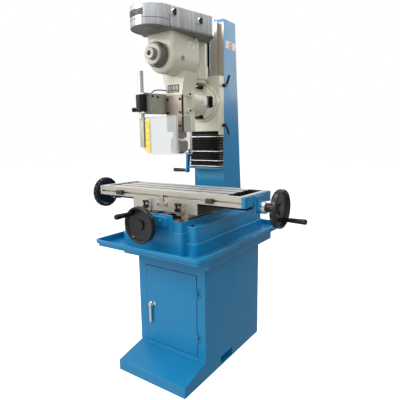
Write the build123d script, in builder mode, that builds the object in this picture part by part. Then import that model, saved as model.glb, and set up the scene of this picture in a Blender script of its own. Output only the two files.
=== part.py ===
from build123d import *
import os
from math import cos, pi, radians, sin, sqrt

os.makedirs("parts", exist_ok=True)

# Slotting machine on a compound table and cabinet stand. Millimetres, +Z up, the operator stands at -Y.
# Origin: on the floor, under the middle of the cabinet, with X = 0 on the machine's centre plane.

# Stand
cabinet_half_width = 198.5
cabinet_half_depth = 270.0
cabinet_height = 554.0
sheet = 3.0
door_left, door_right = -148.0, 153.0
door_bottom, door_top = 106.0, 496.0
door_gap = 2.0
fork_front, fork_back, fork_height = -134.0, -20.0, 45.0
toe_front, toe_front_height, toe_back_height = -431.0, 51.0, 87.0
door_hinge_x, door_hinge_y = 158.5, -276.0
door_handle_x, door_handle_z = -121.0, 298.0

# Chip tray and base
tray_half_width = 302.0
tray_front, tray_back = -457.0, 372.0
tray_floor, tray_rim = 619.0, 646.0
base_half_width, base_front, base_back = 212.0, -352.0, 275.0
base_ledge, base_shelf = 672.0, 743.0
apron_half_width, apron_front, apron_ledge = 158.0, -381.0, 716.0
way_bed = 764.0
y_way_top = 784.0
y_way_back = 60.0
y_screw_z = 751.0
screw_radius = 9.0
running_fit = 0.05

# Saddle and table
saddle_half_width = 187.0
saddle_front, saddle_back = -305.0, -70.0
saddle_bottom, saddle_top = 785.0, 834.6
table_half_length = 400.0
table_front, table_back = -305.0, -64.0
table_bottom, table_top = 835.0, 879.6
table_middle = (table_front + table_back) / 2
x_screw_z = 825.0
slot_pitch = 63.0

# Handwheels
wheel_radius = 80.0
rim_width = 28.0
grip_circle = 61.0
grip_bolt_radius = 4.0
right_bearing_end = 434.0
dial_width = 22.0

# Column and carriage
column_half_width = 91.5
column_front = 73.6
column_top = 1674.0
dovetail_front = 49.6
dovetail_bottom = 962.0
column_slot_half = 30.0
z_screw_y = 100.0
crank_z = 1034.0
carriage_front = 30.0
carriage_bottom, carriage_top = 1143.0, 1407.0
carriage_ear_bottom = 1124.0

# Swivel head
swivel_z = 1280.0
swivel_gap_y = 14.0
bolt_circle = 66.5
drive_z = 1455.0
drive_half_width = 72.0
drive_front, drive_back = -302.0, -112.0
drive_top = 1545.0
guide_half_width = 46.0
guide_front, guide_bottom, guide_top = -200.0, 1139.0, 1306.0
throat_front = -208.0
ram_half_width = 18.5
ram_front, ram_back = -199.7, -142.0
ram_bottom, ram_top = 1040.0, 1330.0
motor_y = -46.0
input_x, input_y = 44.0, -215.0

# Belt cover
cover_bottom, cover_seam, cover_top = 1545.0, 1573.0, 1630.0
cover_front_y = -342.0
cover_wall = 2.5
cover_flare = radians(14)
cover_side = 246.0
lid_hinge_x, lid_hinge_z = -91.5, 1557.0

# Guard
rod_x, rod_y, rod_radius = -102.0, -314.0, 9.0


def turned(origin, direction, profile):
    """Solid of revolution from (distance along the axis, radius) points."""
    along = Vector(*direction)
    outward = Vector(1, 0, 0) if abs(along.Z) > 0.5 else Vector(0, 0, 1)
    section = Plane(origin=origin, x_dir=along, z_dir=along.cross(outward))
    with BuildPart(mode=Mode.PRIVATE) as body:
        with BuildSketch(section):
            with BuildLine():
                Polyline(*profile, close=True)
            make_face()
        revolve(axis=Axis(origin, direction))
    return body.part


def rod(origin, direction, length, radius):
    """Plain round bar from origin along direction."""
    return turned(origin, direction, [(0, 0), (length, 0), (length, radius), (0, radius)])


def block(x_range, y_range, z_range):
    """Rectangular block between three pairs of limits."""
    size = [high - low for low, high in (x_range, y_range, z_range)]
    middle = [(high + low) / 2 for low, high in (x_range, y_range, z_range)]
    return Pos(*middle) * Box(*size, mode=Mode.PRIVATE)


def prism_x(points, x_range):
    """Profile of (y, z) points carried along X."""
    with BuildPart(mode=Mode.PRIVATE) as body:
        with BuildSketch(Plane.YZ.offset(x_range[0])):
            with BuildLine():
                Polyline(*points, close=True)
            make_face()
        extrude(amount=x_range[1] - x_range[0])
    return body.part


def rounded_block(x_range, y_range, z_range, radius):
    """Block with its four upright edges rounded."""
    with BuildPart(mode=Mode.PRIVATE) as body:
        add(block(x_range, y_range, z_range))
        fillet(body.edges().filter_by(Axis.Z), radius)
    return body.part


def cap_screw(origin, direction, head_radius, head_height, shank_radius=0, shank=0):
    """Socket head screw: the head stands along direction, the shank runs the other way."""
    socket = 0.55 * head_radius
    profile = [(0, 0), (0.4 * head_height, 0), (0.4 * head_height, socket), (head_height, socket)]
    profile += [(head_height, head_radius), (0, head_radius)]
    with BuildPart(mode=Mode.PRIVATE) as screw:
        add(turned(origin, direction, profile))
        if shank:
            back = tuple(-part for part in direction)
            add(rod(origin, back, shank, shank_radius))
    return screw.part


def finish(body, name):
    """Label a finished piece and write its file."""
    body.label = name
    export_step(body, f"parts/{name}.step")


# ---------------------------------------------------------------- stand

def make_cabinet_shell():
    inner_x = cabinet_half_width - sheet
    inner_y = cabinet_half_depth - sheet
    toe_outside = [(-inner_y, 0), (toe_front, 0), (toe_front, toe_front_height),
                   (-cabinet_half_depth, toe_back_height), (-inner_y, toe_back_height)]
    toe_inside = [(-cabinet_half_depth, -1), (toe_front + sheet, -1), (toe_front + sheet, toe_front_height - sheet),
                  (-cabinet_half_depth, toe_back_height - sheet)]
    with BuildPart() as cabinet_shell:
        add(block((-cabinet_half_width, cabinet_half_width), (-cabinet_half_depth, cabinet_half_depth),
                  (0, cabinet_height)))
        add(block((-inner_x, inner_x), (-inner_y, inner_y), (sheet, cabinet_height - sheet)), mode=Mode.SUBTRACT)
        add(block((-inner_x, inner_x), (fork_front - sheet, fork_back + sheet), (0, fork_height + sheet)))
        add(block((-300, 300), (fork_front, fork_back), (sheet, fork_height)), mode=Mode.SUBTRACT)
        add(block((door_left - door_gap, door_right + door_gap), (-cabinet_half_depth - 1, -inner_y + 1),
                  (door_bottom - door_gap, door_top + door_gap)), mode=Mode.SUBTRACT)
        add(prism_x(toe_outside, (-cabinet_half_width, cabinet_half_width)))
        add(prism_x(toe_inside, (-inner_x, inner_x)), mode=Mode.SUBTRACT)
    finish(cabinet_shell.part, "cabinet_shell")


def make_stand_top_frame():
    with BuildPart() as stand_top_frame:
        add(block((-249, 249), (-320, 320), (cabinet_height, 616)))
        add(block((-243, 243), (-314, 314), (cabinet_height + sheet, 617)), mode=Mode.SUBTRACT)
        add(block((-120, 120), (-314, 314), (cabinet_height, 616)))
        add(block((-114, 114), (-200, 200), (cabinet_height - 1, 617)), mode=Mode.SUBTRACT)
    finish(stand_top_frame.part, "stand_top_frame")


def make_chip_tray():
    lip_width, lip_depth, wall = 9.0, 15.0, 2.5
    wall_x = tray_half_width - lip_width
    with BuildPart() as chip_tray:
        add(rounded_block((-tray_half_width, tray_half_width), (tray_front, tray_back),
                          (tray_rim - lip_depth, tray_rim), 26))
        add(rounded_block((-tray_half_width + wall, tray_half_width - wall), (tray_front + wall, tray_back - wall),
                          (tray_rim - lip_depth - 1, tray_rim - wall), 24), mode=Mode.SUBTRACT)
        add(rounded_block((-wall_x, wall_x), (tray_front + lip_width, tray_back - lip_width),
                          (616, tray_rim), 18))
        add(rounded_block((-wall_x + wall, wall_x - wall), (tray_front + lip_width + wall, tray_back - lip_width - wall),
                          (tray_floor, tray_rim + 1), 16), mode=Mode.SUBTRACT)
    finish(chip_tray.part, "chip_tray")


def make_door():
    fold = 14.0
    with BuildPart() as door_panel:
        add(block((door_left, door_right), (-272, -272 + fold), (door_bottom, door_top)))
        add(block((door_left + sheet, door_right - sheet), (-272 + sheet, -272 + fold + 1),
                  (door_bottom + sheet, door_top - sheet)), mode=Mode.SUBTRACT)
        with Locations((door_handle_x, -270, door_handle_z), (-97, -270, 307)):
            Cylinder(5.6, 12, rotation=(90, 0, 0), mode=Mode.SUBTRACT)
        for bottom in (190.0, 410.0):
            height = 14.0
            add(rod((door_hinge_x, door_hinge_y, bottom), (0, 0, 1), height, 4.6))
            add(block((door_right - 14, door_hinge_x - 2), (-275.0, -272), (bottom, bottom + height)))
            add(rod((door_hinge_x, door_hinge_y, bottom - 1), (0, 0, 1), height + 2, 2.2 + running_fit),
                mode=Mode.SUBTRACT)
    finish(door_panel.part, "door_panel")

    # The outer knuckles and the pin of each hinge stay on the cabinet.
    with BuildPart() as door_hinge_pins:
        for bottom in (176.0, 396.0):
            origin = (door_hinge_x, door_hinge_y, bottom)
            add(rod(origin, (0, 0, 1), 42, 2.2))
            for offset in (0.0, 28.3):
                add(rod((door_hinge_x, door_hinge_y, bottom + offset), (0, 0, 1), 13.7, 4.6))
                add(block((door_hinge_x, door_hinge_x + 16), (-272.4, -270), (bottom + offset, bottom + offset + 13.7)))
                add(block((door_hinge_x + 1, door_hinge_x + 4), (-276, -270.5),
                          (bottom + offset, bottom + offset + 13.7)))
    finish(door_hinge_pins.part, "door_hinge_pins")

    with BuildPart() as door_handle:
        add(turned((door_handle_x, -272.4, door_handle_z), (0, -1, 0),
                   [(0, 0), (0, 13), (6, 13), (8, 10), (14, 10), (14, 0)]))
        add(rounded_block((door_handle_x - 7, door_handle_x + 7), (-286, -279), (206, door_handle_z), 3))
        add(turned((door_handle_x, -286, door_handle_z), (0, 1, 0), [(0, 0), (0, 5.5), (34, 5.5), (34, 0)]))
        add(block((door_handle_x - 24, door_handle_x + 8), (-255, -252), (door_handle_z - 8, door_handle_z + 8)))
    finish(door_handle.part, "door_handle")

    with BuildPart() as door_lock:
        add(turned((-97, -272.4, 307), (0, -1, 0), [(0, 0), (0, 9), (4, 9), (4, 0)]))
        add(rod((-97, -273, 307), (0, 1, 0), 16, 5.5))
        add(block((-98, -96), (-276.9, -276), (302, 312)), mode=Mode.SUBTRACT)
    finish(door_lock.part, "door_lock")


# ---------------------------------------------------------------- base and Y feed

def make_base_casting():
    groove = 20.0
    with BuildPart() as base_casting:
        add(rounded_block((-base_half_width - 6, base_half_width + 6), (base_front - 6, base_back + 6),
                          (tray_floor, base_ledge), 24))
        add(rounded_block((-base_half_width, base_half_width), (base_front, base_back),
                          (base_ledge, base_shelf), 18))
        add(rounded_block((-apron_half_width - 6, apron_half_width + 6), (apron_front - 6, 0),
                          (tray_floor, apron_ledge), 14))
        add(rounded_block((-apron_half_width, apron_half_width), (apron_front, base_back),
                          (tray_floor, way_bed), 10))
        with BuildSketch(Plane.XZ.offset(-apron_front)):
            with BuildLine():
                Polyline((-52, way_bed), (-62, y_way_top), (62, y_way_top), (52, way_bed), close=True)
            make_face()
        extrude(amount=apron_front - y_way_back)
        add(block((-groove, groove), (apron_front - 1, y_way_back + 1), (730, y_way_top + 1)), mode=Mode.SUBTRACT)
        add(block((-190, 190), (-330, -16), (tray_floor - 1, 700)), mode=Mode.SUBTRACT)
        add(block((-190, 190), (16, 255), (tray_floor - 1, 700)), mode=Mode.SUBTRACT)
    finish(base_casting.part, "base_casting")


def make_y_screw_bracket():
    plate_front = apron_front - 6
    bar_front = -403.0
    with BuildPart() as y_screw_bracket:
        add(block((-115, 115), (plate_front, apron_front), (apron_ledge, 790)))
        with BuildSketch(Plane.XZ.offset(-plate_front)):
            with Locations((0, 762)):
                RectangleRounded(184, 44, 12)
            with Locations((0, y_screw_z)):
                Circle(34)
        extrude(amount=plate_front - bar_front)
        fillet(y_screw_bracket.edges().group_by(Axis.Y)[0], 3)
        add(turned((0, bar_front + 1, y_screw_z), (0, -1, 0), [(0, 0), (0, 27), (3, 25), (3, 0)]))
        add(rod((0, -340, y_screw_z), (0, -1, 0), 80, screw_radius + running_fit), mode=Mode.SUBTRACT)
        for x in (-62, 62):
            add(cap_screw((x, bar_front, 767), (0, -1, 0), 7, 7))
    finish(y_screw_bracket.part, "y_screw_bracket")


def handwheel(axle, direction, neck, spindle):
    """Dished handwheel with finger notches. axle is the hub's inner end, spindle the grip bolt's place."""
    front = neck + rim_width
    profile = [(0, 0), (0, 18), (neck - 6, 18), (neck + 4, 26), (neck + 5, 60), (neck + 1, 66)]
    profile += [(neck, 70), (neck, 76), (neck + 4, 79.5), (neck + 10, wheel_radius), (front - 5, wheel_radius)]
    profile += [(front - 1, 78), (front, 74), (front - 1, 70), (front - 4, 67), (neck + 16, 62), (neck + 13, 34)]
    profile += [(neck + 13, 24), (neck + 20, 21), (neck + 20, 0)]
    along = Vector(*direction)
    sideways = Vector(1, 0, 0) if abs(along.Y) > 0.5 else Vector(0, 1, 0)
    upright = Vector(0, 0, 1)
    hub = Vector(*axle)
    notches = 20
    with BuildPart(mode=Mode.PRIVATE) as wheel:
        add(turned(axle, direction, profile))
        for step in range(notches):
            angle = 2 * pi * step / notches
            reach = sideways * cos(angle) + upright * sin(angle)
            start = hub + along * (neck - 3) + reach * (wheel_radius + 3.5)
            notch = rod(tuple(start), direction, 16, 8)
            add(notch, mode=Mode.SUBTRACT)
        bolt_start = hub + along * (neck + 6) + Vector(*spindle)
        add(rod(tuple(bolt_start), direction, rim_width - 6 + 74, grip_bolt_radius))
        boss_start = hub + along * (neck + 8) + Vector(*spindle)
        add(rod(tuple(boss_start), direction, rim_width - 8, 10))
    return wheel.part


def grip(root, direction, length):
    """Revolving handle, slightly thicker towards its end, bored for its bolt."""
    bore = grip_bolt_radius + running_fit
    profile = [(0, bore), (0, 8), (3, 9.2), (length * 0.7, 11), (length - 6, 11.5), (length - 1, 9.5), (length, 8)]
    profile += [(length, 0), (length - 8, 0), (length - 8, bore)]
    return turned(root, direction, profile)


def make_y_feed():
    axle_y = -405 - 18.0
    spindle = (-40, 0, sqrt(grip_circle**2 - 40**2))
    with BuildPart() as y_handwheel:
        add(handwheel((0, axle_y, y_screw_z), (0, -1, 0), 22, spindle))
    finish(y_handwheel.part, "y_handwheel")

    with BuildPart() as y_handwheel_grip:
        add(grip((spindle[0], axle_y - 50.4, y_screw_z + spindle[2]), (0, -1, 0), 84))
    finish(y_handwheel_grip.part, "y_handwheel_grip")

    with BuildPart() as y_dial:
        add(turned((0, -405.3, y_screw_z), (0, -1, 0), [(0, 0), (0, 27), (13, 27), (17.7, 23), (17.7, 0)]))
    finish(y_dial.part, "y_dial")

    with BuildPart() as y_lead_screw:
        add(rod((0, -405.3, y_screw_z), (0, 1, 0), 455, screw_radius))
    finish(y_lead_screw.part, "y_lead_screw")


# ---------------------------------------------------------------- saddle, table and X feed

def make_saddle():
    with BuildPart() as saddle:
        add(rounded_block((-saddle_half_width, saddle_half_width), (saddle_front, saddle_back),
                          (saddle_bottom, saddle_top), 3))
        for side in (-1, 1):
            leg = sorted((side * 63.0, side * 138.0))
            add(block(leg, (saddle_front, saddle_back), (way_bed + 0.4, saddle_bottom)))
            with BuildSketch(Plane.XZ.offset(-saddle_front)):
                with BuildLine():
                    Polyline((side * 53, way_bed + 0.4), (side * 63, saddle_bottom), (side * 64, saddle_bottom),
                             (side * 64, way_bed + 0.4), close=True)
                make_face()
            extrude(amount=saddle_front - saddle_back)
        groove = [(table_middle - 70.5, 816.4), (table_middle - 62.5, 836), (table_middle + 62.5, 836),
                  (table_middle + 70.5, 816.4)]
        add(prism_x(groove, (-200, 200)), mode=Mode.SUBTRACT)
        add(block((-200, 200), (table_middle - 14, table_middle + 14), (813, 820)), mode=Mode.SUBTRACT)
        add(block((-24, 24), (table_middle - 15, table_middle + 15), (812, 840)))
        add(rod((-30, table_middle, x_screw_z), (1, 0, 0), 60, screw_radius + running_fit), mode=Mode.SUBTRACT)
        add(block((-16, 16), (-240, -190), (736, saddle_bottom)))
        add(rod((0, -250, y_screw_z), (0, 1, 0), 70, screw_radius + running_fit), mode=Mode.SUBTRACT)
        for x in (-94.0, 93.0):
            add(rod((x, saddle_front, 801), (0, -1, 0), 6, 27))
            add(rod((x, saddle_front + 20, 801), (0, -1, 0), 27, 5.05), mode=Mode.SUBTRACT)
    finish(saddle.part, "saddle")

    with BuildPart() as zero_pointer:
        add(block((-34, 24), (-309, saddle_front), (809, 827)))
        add(block((-16, 4), (-309, saddle_front - 0.5), (827, 862)))
        for x in (-27, 15):
            add(cap_screw((x, -309, 818), (0, -1, 0), 4.5, 3))
    finish(zero_pointer.part, "zero_pointer")


def lock_lever(pivot, direction, arm_end, grip_end, stub):
    """Clamp lever: hub on the stud, arm to arm_end, and a round grip from arm_end to grip_end."""
    hub = Vector(*pivot)
    along = Vector(*direction)
    elbow = Vector(*arm_end)
    tip = Vector(*grip_end)
    arm = elbow - (hub + along * 13)
    hold = tip - elbow
    with BuildPart(mode=Mode.PRIVATE) as lever:
        add(rod(pivot, direction, 20, 8.5))
        add(rod(tuple(hub + along * 13), tuple(arm.normalized()), arm.length, 5))
        add(rod(tuple(elbow - hold.normalized() * 6), tuple(hold.normalized()), hold.length + 6, 5.6))
        add(rod(tuple(hub - along * stub), direction, stub + 1, 5))
    return lever.part


def make_table_locks():
    for name, x in (("table_lock_lever_left", -94.0), ("table_lock_lever_right", 93.0)):
        pivot = (x, saddle_front - 6.4, 801)
        with BuildPart() as table_lock_lever:
            add(lock_lever(pivot, (0, -1, 0), (x - 2, -325, 827), (x + 24, -327, 829), 18))
        finish(table_lock_lever.part, name)


def make_table():
    slot_floor = table_top - 23
    with BuildPart() as table:
        add(rounded_block((-table_half_length, table_half_length), (table_front, table_back),
                          (table_bottom, table_top), 4))
        tail = [(table_middle - 70, 817), (table_middle - 62, table_bottom), (table_middle + 62, table_bottom),
                (table_middle + 70, 817)]
        add(prism_x(tail, (-table_half_length + 6, table_half_length - 6)))
        add(block((-401, 401), (table_middle - 18, table_middle + 18), (816, 843)), mode=Mode.SUBTRACT)
        for row in (-1, 0, 1):
            y = table_middle + row * slot_pitch
            add(block((-342, 320), (y - 7, y + 7), (slot_floor + 2, table_top + 1)), mode=Mode.SUBTRACT)
            add(block((-342, 320), (y - 12, y + 12), (slot_floor, slot_floor + 9)), mode=Mode.SUBTRACT)
        for ends in ((-372, -342), (320, 383)):
            add(rounded_block(ends, (-288, -81), (slot_floor - 2, table_top + 1), 8), mode=Mode.SUBTRACT)
        add(block((-401, 401), (table_front - 1, table_front + 8), (850, 858)), mode=Mode.SUBTRACT)
        add(block((-401, 401), (table_front + 6, table_front + 13), (846, 862)), mode=Mode.SUBTRACT)
    finish(table.part, "table")


def make_end_bracket(side):
    """Bearing bracket on one end of the table, side +1 on the right."""
    face = side * table_half_length
    plate = sorted((face, face + side * 14))
    web = sorted((face, face + side * 20))
    with BuildPart(mode=Mode.PRIVATE) as end_bracket:
        add(rounded_block(plate, (table_front, table_back), (table_bottom, table_top - 1), 3))
        add(rounded_block(web, (table_middle - 34, table_middle + 34), (801, 872), 6))
        add(rod((face, table_middle, x_screw_z), (side, 0, 0), right_bearing_end - table_half_length, 27))
        add(rod((face - side * 2, table_middle, x_screw_z), (side, 0, 0), 40, screw_radius + running_fit),
            mode=Mode.SUBTRACT)
    return end_bracket.part


def make_x_feed():
    finish(make_end_bracket(1), "end_bracket_right")
    finish(make_end_bracket(-1), "end_bracket_left")

    axle = right_bearing_end + dial_width
    right_spindle = (0, 35, -sqrt(grip_circle**2 - 35**2))
    left_spindle = (0, 58, -sqrt(grip_circle**2 - 58**2))
    with BuildPart() as x_handwheel_right:
        add(handwheel((axle, table_middle, x_screw_z), (1, 0, 0), 39, right_spindle))
    finish(x_handwheel_right.part, "x_handwheel_right")

    with BuildPart() as x_handwheel_left:
        add(handwheel((-axle, table_middle, x_screw_z), (-1, 0, 0), 39, left_spindle))
    finish(x_handwheel_left.part, "x_handwheel_left")

    grip_root = axle + 39 + rim_width + 0.4
    with BuildPart() as x_grip_right:
        add(grip((grip_root, table_middle + right_spindle[1], x_screw_z + right_spindle[2]), (1, 0, 0), 84))
    finish(x_grip_right.part, "x_grip_right")

    with BuildPart() as x_grip_left:
        add(grip((-grip_root, table_middle + left_spindle[1], x_screw_z + left_spindle[2]), (-1, 0, 0), 84))
    finish(x_grip_left.part, "x_grip_left")

    bore = screw_radius + running_fit
    with BuildPart() as x_dials:
        for side in (-1, 1):
            inner_end = (side * (right_bearing_end + 0.3), table_middle, x_screw_z)
            add(turned(inner_end, (side, 0, 0), [(0, bore), (0, 27), (16, 27), (21.7, 22), (21.7, bore)]))
    finish(x_dials.part, "x_dials")

    with BuildPart() as x_lead_screw:
        add(rod((-axle, table_middle, x_screw_z), (1, 0, 0), 2 * axle, screw_radius))
    finish(x_lead_screw.part, "x_lead_screw")

    for name, x, half_width in (("table_stop_left", -268, 18), ("table_stop_right", 252, 15)):
        with BuildPart() as table_stop:
            add(block((x - half_width, x + half_width), (-320, table_front - 0.3), (843, 864)))
            add(block((x - 12, x + 12), (table_front - 1, table_front + 11.5), (850.4, 857.6)))
            add(cap_screw((x, -320, 853), (0, -1, 0), 5, 4))
        finish(table_stop.part, name)


# ---------------------------------------------------------------- column and elevating drive

def make_column():
    outline = [(column_front, way_bed), (column_front, column_top), (194, column_top), (252, 989), (267, 835),
               (270, way_bed)]
    hollow = [(88, 790), (88, 1655), (178, 1655), (236, 980), (250, 835), (252, 790)]
    half = column_half_width
    with BuildPart() as column:
        add(prism_x(outline, (-half, half)))
        rear = column.edges().filter_by(lambda edge: edge.center().Y > 190 and abs(edge.center().X) > half - 1)
        fillet(rear.filter_by(lambda edge: abs(edge.tangent_at(0.5).Z) > 0.9), 14)
        add(prism_x(hollow, (-half + 14, half - 14)), mode=Mode.SUBTRACT)
        with BuildSketch(Plane.XY.offset(dovetail_bottom)):
            with BuildLine():
                Polyline((-68, dovetail_front), (68, dovetail_front), (56, column_front), (-56, column_front),
                         close=True)
            make_face()
        extrude(amount=1660 - dovetail_bottom)
        add(block((-column_slot_half, column_slot_half), (40, 89), (1110, 1640)), mode=Mode.SUBTRACT)
        add(block((-70, 70), (87, 150), (984, 996)))
        add(block((-76, 34), (67, 89), (997, 1072)), mode=Mode.SUBTRACT)
        add(rod((0, z_screw_y, 980), (0, 0, 1), 20, screw_radius + running_fit), mode=Mode.SUBTRACT)
        add(rod((0, z_screw_y, 1650), (0, 0, 1), 30, screw_radius + running_fit), mode=Mode.SUBTRACT)
        add(turned((-half + 14, z_screw_y, crank_z), (-1, 0, 0), [(0, 0), (0, 26), (30, 26), (44, 20), (44, 0)]))
        add(rod((-half - 40, z_screw_y, crank_z), (1, 0, 0), 60, screw_radius + running_fit), mode=Mode.SUBTRACT)
        bearing_cap = [(0, 11), (0, 30), (8, 30), (14, 22), (14, 0), (8, 0), (8, 11)]
        add(turned((0, z_screw_y, column_top), (0, 0, 1), bearing_cap))
        shelf_half = column_half_width + 2
        add(block((-shelf_half, shelf_half), (22, column_front + 1), (dovetail_bottom - 8, dovetail_bottom - 0.4)))
    finish(column.part, "column")


def make_elevating_drive():
    # Two equal bevel gears whose cones meet where the crank shaft and the screw cross.
    near, far = 16.0, 30.0
    with BuildPart() as z_lead_screw:
        add(rod((0, z_screw_y, 984), (0, 0, 1), column_top + 6 - 984, screw_radius))
        add(turned((0, z_screw_y, crank_z), (0, 0, -1), [(near, 0), (near, near), (far, far), (far + 6, far),
                                                         (far + 6, 0)]))
    finish(z_lead_screw.part, "z_lead_screw")

    backlash = 0.8
    arm_x = -146.0
    low = (z_screw_y - 8, 936)
    with BuildPart() as elevating_crank:
        add(rod((-far, z_screw_y, crank_z), (-1, 0, 0), 152 - far, screw_radius))
        add(turned((-backlash, z_screw_y, crank_z), (-1, 0, 0),
                   [(near, 0), (near, near), (far, far), (far + 6, far), (far + 6, 0)]))
        add(turned((arm_x + 8, z_screw_y, crank_z), (-1, 0, 0), [(0, 0), (0, 17), (20, 17), (24, 13), (24, 0)]))
        with BuildSketch(Plane.YZ.offset(arm_x - 12)):
            with BuildLine():
                Polyline((z_screw_y - 13, crank_z), (z_screw_y + 13, crank_z), (low[0] + 10, low[1]),
                         (low[0] - 10, low[1]), close=True)
            make_face()
        extrude(amount=12)
        add(rod((arm_x, low[0], low[1]), (-1, 0, 0), 15, 13))
        add(rod((arm_x, low[0], low[1]), (-1, 0, 0), 88, grip_bolt_radius))
    finish(elevating_crank.part, "elevating_crank")

    with BuildPart() as crank_grip:
        add(grip((arm_x - 15.4, low[0], low[1]), (-1, 0, 0), 86))
    finish(crank_grip.part, "crank_grip")


def make_carriage():
    half = column_half_width
    with BuildPart() as head_carriage:
        add(block((-half, half), (carriage_front, column_front - 0.4), (carriage_bottom, carriage_top)))
        fillet(head_carriage.edges().filter_by(Axis.Z).group_by(Axis.Y)[0], 5)
        add(block((half - 8, half), (carriage_front + 5, column_front - 0.4), (carriage_ear_bottom, carriage_bottom)))
        add(block((-half, -half + 8), (carriage_front + 5, column_front - 0.4),
                  (carriage_ear_bottom, carriage_bottom)))
        with BuildSketch(Plane.XY.offset(carriage_ear_bottom - 1)):
            with BuildLine():
                Polyline((-68.6, dovetail_front - 0.4), (68.6, dovetail_front - 0.4), (56.4, column_front),
                         (-56.4, column_front), close=True)
            make_face()
        extrude(amount=carriage_top - carriage_ear_bottom + 2, mode=Mode.SUBTRACT)
        add(block((-22, 22), (carriage_front + 15, 122), (1236, 1292)))
        add(rod((0, z_screw_y, 1230), (0, 0, 1), 70, screw_radius + running_fit), mode=Mode.SUBTRACT)
        for z in (1363, 1171):
            add(rod((half - 20, 66, z), (1, 0, 0), 24, 5.05), mode=Mode.SUBTRACT)
    finish(head_carriage.part, "head_carriage")

    # Flat ring with an annular T groove for the swivel bolts.
    back = carriage_front
    face = swivel_gap_y + 0.3
    ring = [(face, 20), (face, 60), (face + 5, 60), (face + 5, 56), (face + 12, 56), (face + 12, 77), (face + 5, 77),
            (face + 5, 73), (face, 73), (face, 88), (face + 2, 90), (back, 90), (back, 20)]
    with BuildPart() as swivel_ring:
        add(turned((0, 0, swivel_z), (0, 1, 0), ring))
    finish(swivel_ring.part, "swivel_ring")

    with BuildPart() as bellows:
        add(block((-half, half), (26, column_front - 0.4), (dovetail_bottom, carriage_ear_bottom - 0.4)))
        add(block((-83, 83), (carriage_front + 2, column_front - 0.4), (dovetail_bottom, carriage_bottom - 0.3)))
        add(block((-74, 74), (44, column_front + 1), (dovetail_bottom - 1, carriage_bottom + 1)), mode=Mode.SUBTRACT)
    finish(bellows.part, "bellows")

    levers = (("carriage_lock_upper", 1363, 1), ("carriage_lock_lower", 1171, -1))
    for name, z, upward in levers:
        pivot = (half + 0.4, 66, z)
        with BuildPart() as carriage_lock:
            add(lock_lever(pivot, (1, 0, 0), (half + 24, 68, z + upward * 14), (half + 32, 72, z + upward * 46), 16))
        finish(carriage_lock.part, name)


# ---------------------------------------------------------------- swivel head

def make_head_casting():
    with BuildPart() as head_casting:
        # Drive housing: round underside, straight sides up to the belt cover.
        with BuildSketch(Plane.XZ.offset(-drive_front)):
            with Locations((0, drive_z)):
                Circle(drive_half_width)
            with Locations((0, (drive_z + drive_top) / 2)):
                Rectangle(2 * drive_half_width, drive_top - drive_z)
        extrude(amount=drive_front - drive_back)
        front_rim = head_casting.edges().group_by(Axis.Y)[0]
        fillet(front_rim.filter_by(lambda edge: edge.center().Z < drive_top - 1), 20)
        # Throat that narrows from the drive housing to the ram guide.
        with BuildSketch(Plane.XZ.offset(-throat_front)):
            with BuildLine():
                Polyline((-66, 1400), (-52, 1346), (-46, 1310), (-46, 1300), (46, 1300), (46, 1310), (52, 1346),
                         (66, 1400), close=True)
            make_face()
        extrude(amount=throat_front - drive_back)
        # Ram guide with its gib bosses.
        add(block((-guide_half_width, guide_half_width), (guide_front, -112), (guide_bottom, guide_top)))
        for z in (1232, 1304):
            add(rod((guide_half_width - 2, -172, z), (1, 0, 0), 18, 12))
        # Round neck and swivel flange.
        neck = [(-150, 0), (-150, 58), (-134, 66), (-22, 66), (-8, 80), (-4, 82), (swivel_gap_y, 82),
                (swivel_gap_y, 0)]
        add(turned((0, 0, swivel_z), (0, 1, 0), neck))
        for angle in (0, 90, 180, 270):
            reach = radians(angle)
            middle = (bolt_circle * cos(reach), swivel_z + bolt_circle * sin(reach))
            wide = 56 if angle % 180 else 25
            tall = 25 if angle % 180 else 56
            with BuildSketch(Plane.XZ.offset(36)):
                with Locations(middle):
                    RectangleRounded(wide, tall, 11)
            extrude(amount=-30, mode=Mode.SUBTRACT)
            add(rod((middle[0], -10, middle[1]), (0, 1, 0), 30, 5.5), mode=Mode.SUBTRACT)
        # Hollow for the ram, open to the front, the bottom and the drive housing.
        half = ram_half_width + 0.25
        add(block((-half, half), (guide_front - 0.9, ram_back + 0.3), (guide_bottom - 1, 1420)), mode=Mode.SUBTRACT)
        add(block((-57, 57), (-288, -126), (1422, drive_top + 1)), mode=Mode.SUBTRACT)
        add(block((-44, 44), (-288, -126), (1408, 1430)), mode=Mode.SUBTRACT)
        add(rod((0, drive_front - 1, drive_z), (0, 1, 0), 195, 12 + running_fit), mode=Mode.SUBTRACT)
    finish(head_casting.part, "head_casting")

    with BuildPart() as head_screws:
        for angle in (0, 90, 180, 270):
            reach = radians(angle)
            spot = (bolt_circle * cos(reach), swivel_z + bolt_circle * sin(reach))
            head = (spot[0], -6, spot[1])
            add(cap_screw(head, (0, -1, 0), 8, 8, 5, 24))
            add(rod((spot[0], swivel_gap_y + 6.5, spot[1]), (0, 1, 0), 5, 9))
        for x in (-35, 35):
            for z in (1165, 1224, 1282):
                add(cap_screw((x, -211, z), (0, -1, 0), 5.5, 3))
        for z in (1232, 1304):
            add(cap_screw((guide_half_width + 16, -172, z), (1, 0, 0), 5, 4))
    finish(head_screws.part, "head_screws")

    with BuildPart() as ram_cover_plate:
        add(block((-44, 44), (-211, guide_front), (guide_bottom, 1299.5)))
        chamfer(ram_cover_plate.edges().group_by(Axis.Y)[0], 1.2)
    finish(ram_cover_plate.part, "ram_cover_plate")

    with BuildPart() as oil_fittings:
        add(turned((drive_half_width, -232, 1447), (1, 0, 0), [(0, 0), (0, 10), (3, 10), (3, 7), (1.5, 7), (1.5, 0)]))
        add(rod((drive_half_width, -150, 1530), (1, 0, 0), 14, 5))
        add(rod((drive_half_width + 10, -150, 1528), (0, 0, 1), 13, 5))
    finish(oil_fittings.part, "oil_fittings")


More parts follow.
